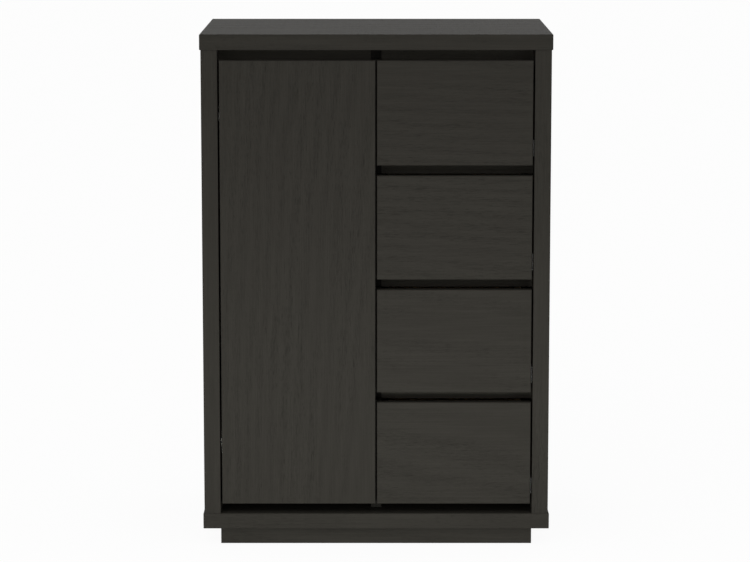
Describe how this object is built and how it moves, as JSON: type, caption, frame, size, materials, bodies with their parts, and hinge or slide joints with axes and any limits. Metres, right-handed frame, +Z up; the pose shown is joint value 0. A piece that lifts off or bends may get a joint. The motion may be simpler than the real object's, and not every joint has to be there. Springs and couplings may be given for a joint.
{
  "type": "storage cabinet with a door and drawers",
  "caption": "Floor-standing dark oak-look storage cabinet with a tall door at the left and a stack of drawers at the right, opened by finger gaps.",
  "frame": {"origin": "on the floor under the middle of the footprint", "axes": "+X to the right seen from the front, the front faces -Y, +Z up"},
  "size_m": [0.6, 0.4, 0.887],
  "materials": {
    "dark_oak_foil": "satin",
    "dark_hardboard": "matte",
    "pale_board": "satin",
    "pale_plywood": "satin",
    "runner_steel": "satin",
    "nylon": "matte",
    "nickel_plate": "polished",
    "zinc_plate": "satin",
    "beech": "matte",
    "soft_pad": "matte"
  },
  "bodies": {
    "cabinet": {"top_board": "dark_oak_foil", "bottom_board": "dark_oak_foil", "left_side": "dark_oak_foil", "right_side": "dark_oak_foil", "centre_divider": "dark_oak_foil", "back_panel": "dark_hardboard", "door_top_rail": "dark_oak_foil", "drawer_top_rail": "dark_oak_foil", "drawer_rails": "dark_oak_foil", "plinth_front": "dark_oak_foil", "plinth_back": "dark_oak_foil", "plinth_left": "dark_oak_foil", "plinth_right": "dark_oak_foil", "plinth_blocks": "pale_board", "upper_shelf": "dark_oak_foil", "lower_shelf": "dark_oak_foil", "shelf_pins": "zinc_plate", "carcass_dowels": "beech", "screws": "zinc_plate", "door_bumpers": "soft_pad", "hinge_arms": "nickel_plate", "hinge_plates": "nickel_plate", "cabinet_runners": "runner_steel"},
    "inner_links": {"hinge_inner_links": "nickel_plate"},
    "outer_links": {"hinge_outer_links": "nickel_plate"},
    "door": {"door_panel": "dark_oak_foil", "hinge_cups": "nickel_plate"},
    "drawer_1": {"drawer_1_front": "dark_oak_foil", "drawer_1_left_side": "pale_board", "drawer_1_right_side": "pale_board", "drawer_1_back": "pale_board", "drawer_1_bottom": "pale_plywood", "drawer_1_runners": "runner_steel"},
    "drawer_1_front_roller_pair": {"drawer_1_front_rollers": "nylon"},
    "drawer_1_rear_roller_pair": {"drawer_1_rear_rollers": "nylon"},
    "drawer_2": {"drawer_2_front": "dark_oak_foil", "drawer_2_left_side": "pale_board", "drawer_2_right_side": "pale_board", "drawer_2_back": "pale_board", "drawer_2_bottom": "pale_plywood", "drawer_2_runners": "runner_steel"},
    "drawer_2_front_roller_pair": {"drawer_2_front_rollers": "nylon"},
    "drawer_2_rear_roller_pair": {"drawer_2_rear_rollers": "nylon"},
    "drawer_3": {"drawer_3_front": "dark_oak_foil", "drawer_3_left_side": "pale_board", "drawer_3_right_side": "pale_board", "drawer_3_back": "pale_board", "drawer_3_bottom": "pale_plywood", "drawer_3_runners": "runner_steel"},
    "drawer_3_front_roller_pair": {"drawer_3_front_rollers": "nylon"},
    "drawer_3_rear_roller_pair": {"drawer_3_rear_rollers": "nylon"},
    "drawer_4": {"drawer_4_front": "dark_oak_foil", "drawer_4_left_side": "pale_board", "drawer_4_right_side": "pale_board", "drawer_4_back": "pale_board", "drawer_4_bottom": "pale_plywood", "drawer_4_runners": "runner_steel"},
    "drawer_4_front_roller_pair": {"drawer_4_front_rollers": "nylon"},
    "drawer_4_rear_roller_pair": {"drawer_4_rear_rollers": "nylon"}
  },
  "joints": [
    {"name": "door_swing", "type": "hinge", "parent": "inner_links", "child": "door", "pos_m": [-0.2545, -0.1881, 0.1725], "axis": [0, 0, -1], "range_deg": [0, 126]},
    {"name": "inner_link_swing", "type": "hinge", "parent": "cabinet", "child": "inner_links", "pos_m": [-0.2318, -0.1881, 0.1725], "axis": [0, 0, 1], "range_deg": [0, 36]},
    {"name": "outer_link_swing", "type": "hinge", "parent": "cabinet", "child": "outer_links", "pos_m": [-0.2318, -0.1737, 0.1725], "axis": [0, 0, 1], "range_deg": [0, 35]},
    {"name": "drawer_1_slide", "type": "slide", "parent": "cabinet", "child": "drawer_1", "axis": [0, -1, 0], "range_m": [0, 0.255]},
    {"name": "drawer_1_front_roller_turn", "type": "hinge", "parent": "cabinet", "child": "drawer_1_front_roller_pair", "pos_m": [0.1395, -0.161, 0.68895], "axis": [1, 0, 0], "continuous": true},
    {"name": "drawer_1_rear_roller_turn", "type": "hinge", "parent": "drawer_1", "child": "drawer_1_rear_roller_pair", "pos_m": [0.1395, 0.155, 0.68895], "axis": [1, 0, 0], "continuous": true},
    {"name": "drawer_2_slide", "type": "slide", "parent": "cabinet", "child": "drawer_2", "axis": [0, -1, 0], "range_m": [0, 0.255]},
    {"name": "drawer_2_front_roller_turn", "type": "hinge", "parent": "cabinet", "child": "drawer_2_front_roller_pair", "pos_m": [0.1395, -0.161, 0.49195], "axis": [1, 0, 0], "continuous": true},
    {"name": "drawer_2_rear_roller_turn", "type": "hinge", "parent": "drawer_2", "child": "drawer_2_rear_roller_pair", "pos_m": [0.1395, 0.155, 0.49195], "axis": [1, 0, 0], "continuous": true},
    {"name": "drawer_3_slide", "type": "slide", "parent": "cabinet", "child": "drawer_3", "axis": [0, -1, 0], "range_m": [0, 0.255]},
    {"name": "drawer_3_front_roller_turn", "type": "hinge", "parent": "cabinet", "child": "drawer_3_front_roller_pair", "pos_m": [0.1395, -0.161, 0.29495], "axis": [1, 0, 0], "continuous": true},
    {"name": "drawer_3_rear_roller_turn", "type": "hinge", "parent": "drawer_3", "child": "drawer_3_rear_roller_pair", "pos_m": [0.1395, 0.155, 0.29495], "axis": [1, 0, 0], "continuous": true},
    {"name": "drawer_4_slide", "type": "slide", "parent": "cabinet", "child": "drawer_4", "axis": [0, -1, 0], "range_m": [0, 0.255]},
    {"name": "drawer_4_front_roller_turn", "type": "hinge", "parent": "cabinet", "child": "drawer_4_front_roller_pair", "pos_m": [0.1395, -0.161, 0.09795], "axis": [1, 0, 0], "continuous": true},
    {"name": "drawer_4_rear_roller_turn", "type": "hinge", "parent": "drawer_4", "child": "drawer_4_rear_roller_pair", "pos_m": [0.1395, 0.155, 0.09795], "axis": [1, 0, 0], "continuous": true}
  ],
  "couplings": [
    {"joint": "inner_link_swing", "follows": "door_swing", "ratio": 0.28571},
    {"joint": "outer_link_swing", "follows": "door_swing", "ratio": 0.27777},
    {"joint": "drawer_1_front_roller_turn", "follows": "drawer_1_slide", "rad_per_m": 90.909},
    {"joint": "drawer_1_rear_roller_turn", "follows": "drawer_1_slide", "rad_per_m": 90.909},
    {"joint": "drawer_2_front_roller_turn", "follows": "drawer_2_slide", "rad_per_m": 90.909},
    {"joint": "drawer_2_rear_roller_turn", "follows": "drawer_2_slide", "rad_per_m": 90.909},
    {"joint": "drawer_3_front_roller_turn", "follows": "drawer_3_slide", "rad_per_m": 90.909},
    {"joint": "drawer_3_rear_roller_turn", "follows": "drawer_3_slide", "rad_per_m": 90.909},
    {"joint": "drawer_4_front_roller_turn", "follows": "drawer_4_slide", "rad_per_m": 90.909},
    {"joint": "drawer_4_rear_roller_turn", "follows": "drawer_4_slide", "rad_per_m": 90.909}
  ]
}
